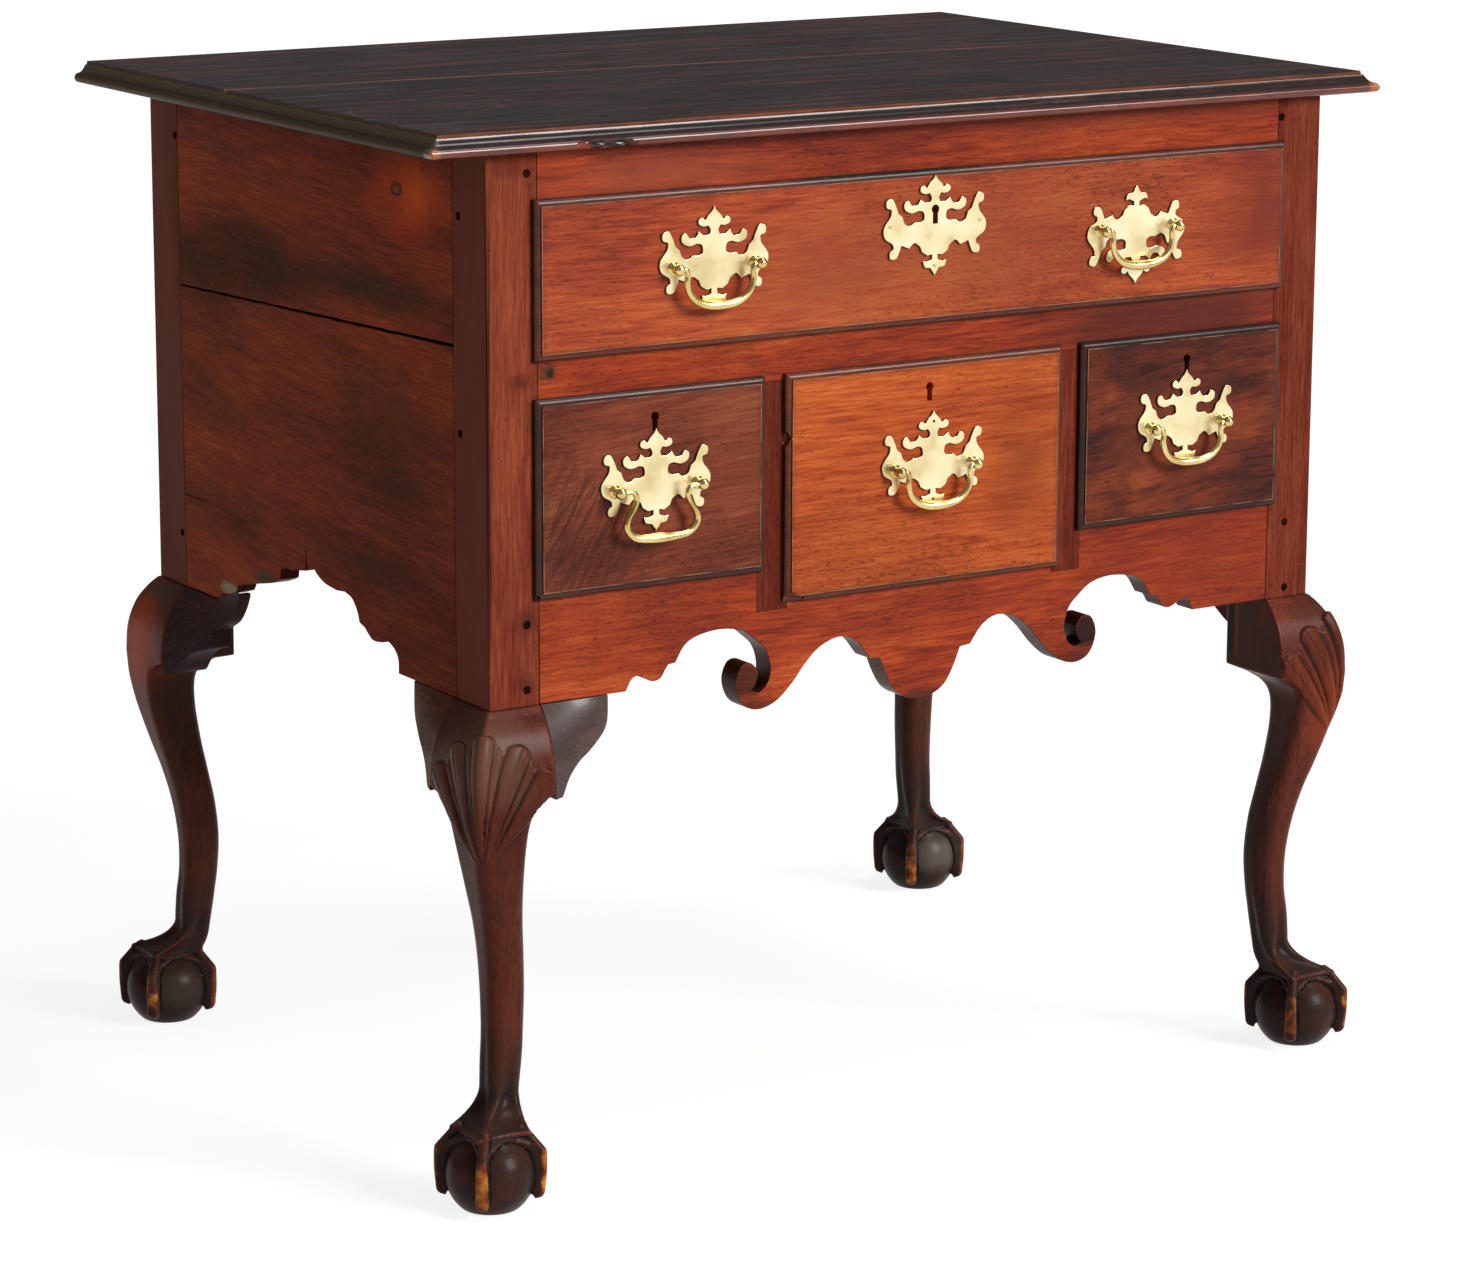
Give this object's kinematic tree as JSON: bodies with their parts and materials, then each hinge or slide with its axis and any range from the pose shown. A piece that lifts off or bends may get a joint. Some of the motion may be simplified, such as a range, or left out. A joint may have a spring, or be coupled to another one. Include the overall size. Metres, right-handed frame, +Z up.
{
  "type": "dressing table",
  "caption": "Walnut lowboy dressing table with a moulded top, sliding lipped drawers, pierced brasses with swinging bails, a scrolled apron and cabriole legs on ball-and-claw feet.",
  "frame": {"origin": "on the floor under the middle of the table, which is the middle of the case", "axes": "+X to the right seen from the front, +Y to the back, +Z up; the drawers open towards -Y"},
  "size_m": [0.82, 0.5876, 0.762],
  "materials": {
    "walnut_top": "old polished walnut, nearly black",
    "walnut_front": "old varnished walnut, red-brown",
    "walnut_side": "old varnished walnut, dark",
    "walnut_leg": "old varnished walnut, dark, worn on the claws",
    "walnut_drawer": "old varnished walnut, orange-brown",
    "walnut_dark_drawer": "old varnished walnut, dark and figured",
    "walnut_light_drawer": "old varnished walnut, straight light grain",
    "pine": "old bare softwood",
    "brass": "polished pale brass",
    "iron": "dull iron"
  },
  "bodies": {
    "case": {"top_front_board": "walnut_top", "top_rear_board": "walnut_top", "leg_front_left": "walnut_leg", "leg_front_right": "walnut_leg", "leg_rear_left": "walnut_leg", "leg_rear_right": "walnut_leg", "side_left_upper_board": "walnut_side", "side_left_lower_board": "walnut_side", "side_right_board": "walnut_side", "back_board": "pine", "front_top_rail": "walnut_front", "front_middle_rail": "walnut_front", "front_apron": "walnut_front", "divider_left": "walnut_front", "divider_right": "walnut_front", "knee_bracket_front_left_front": "walnut_leg", "knee_bracket_front_left_side": "walnut_leg", "knee_bracket_rear_left_side": "walnut_leg", "knee_bracket_front_right_side": "walnut_leg", "knee_bracket_rear_right_side": "walnut_leg", "runner_top_left": "pine", "runner_top_right": "pine", "runner_lower_left": "pine", "runner_lower_right": "pine", "runner_divider_left": "pine", "runner_divider_right": "pine"},
    "drawer_long": {"drawer_long_front": "walnut_drawer", "drawer_long_left_side": "pine", "drawer_long_right_side": "pine", "drawer_long_back": "pine", "drawer_long_bottom": "pine", "pull_long_left_plate": "brass", "pull_long_right_plate": "brass", "escutcheon": "brass", "lock_long_case": "iron"},
    "drawer_left": {"drawer_left_front": "walnut_dark_drawer", "drawer_left_left_side": "pine", "drawer_left_right_side": "pine", "drawer_left_back": "pine", "drawer_left_bottom": "pine", "pull_left_plate": "brass"},
    "drawer_centre": {"drawer_centre_front": "walnut_light_drawer", "drawer_centre_left_side": "pine", "drawer_centre_right_side": "pine", "drawer_centre_back": "pine", "drawer_centre_bottom": "pine", "pull_centre_plate": "brass"},
    "drawer_right": {"drawer_right_front": "walnut_dark_drawer", "drawer_right_left_side": "pine", "drawer_right_right_side": "pine", "drawer_right_back": "pine", "drawer_right_bottom": "pine", "pull_right_plate": "brass", "lock_right_case": "iron"},
    "bail_long_left": {"pull_long_left_bail": "brass"},
    "bail_long_right": {"pull_long_right_bail": "brass"},
    "bail_left": {"pull_left_bail": "brass"},
    "bail_centre": {"pull_centre_bail": "brass"},
    "bail_right": {"pull_right_bail": "brass"},
    "lock_bolt": {"lock_long_bolt": "brass"}
  },
  "joints": [
    {"name": "long_drawer_slide", "type": "slide", "parent": "case", "child": "drawer_long", "axis": [0, -1, 0], "range_m": [0, 0.38]},
    {"name": "left_drawer_slide", "type": "slide", "parent": "case", "child": "drawer_left", "axis": [0, -1, 0], "range_m": [0, 0.38]},
    {"name": "centre_drawer_slide", "type": "slide", "parent": "case", "child": "drawer_centre", "axis": [0, -1, 0], "range_m": [0, 0.38]},
    {"name": "right_drawer_slide", "type": "slide", "parent": "case", "child": "drawer_right", "axis": [0, -1, 0], "range_m": [0, 0.38]},
    {"name": "long_left_bail_hinge", "type": "hinge", "parent": "drawer_long", "child": "bail_long_left", "pos_m": [-0.184, -0.277, 0.6585], "axis": [-1, 0, 0], "range_deg": [0, 165]},
    {"name": "long_right_bail_hinge", "type": "hinge", "parent": "drawer_long", "child": "bail_long_right", "pos_m": [0.184, -0.277, 0.6585], "axis": [-1, 0, 0], "range_deg": [0, 165]},
    {"name": "left_bail_hinge", "type": "hinge", "parent": "drawer_left", "child": "bail_left", "pos_m": [-0.2315, -0.277, 0.506], "axis": [-1, 0, 0], "range_deg": [0, 165]},
    {"name": "centre_bail_hinge", "type": "hinge", "parent": "drawer_centre", "child": "bail_centre", "pos_m": [0.004, -0.277, 0.4968], "axis": [-1, 0, 0], "range_deg": [0, 165]},
    {"name": "right_bail_hinge", "type": "hinge", "parent": "drawer_right", "child": "bail_right", "pos_m": [0.2345, -0.277, 0.5062], "axis": [-1, 0, 0], "range_deg": [0, 165]},
    {"name": "long_drawer_lock_bolt_slide", "type": "slide", "parent": "drawer_long", "child": "lock_bolt", "axis": [0, 0, 1], "range_m": [0, 0.007]}
  ]
}
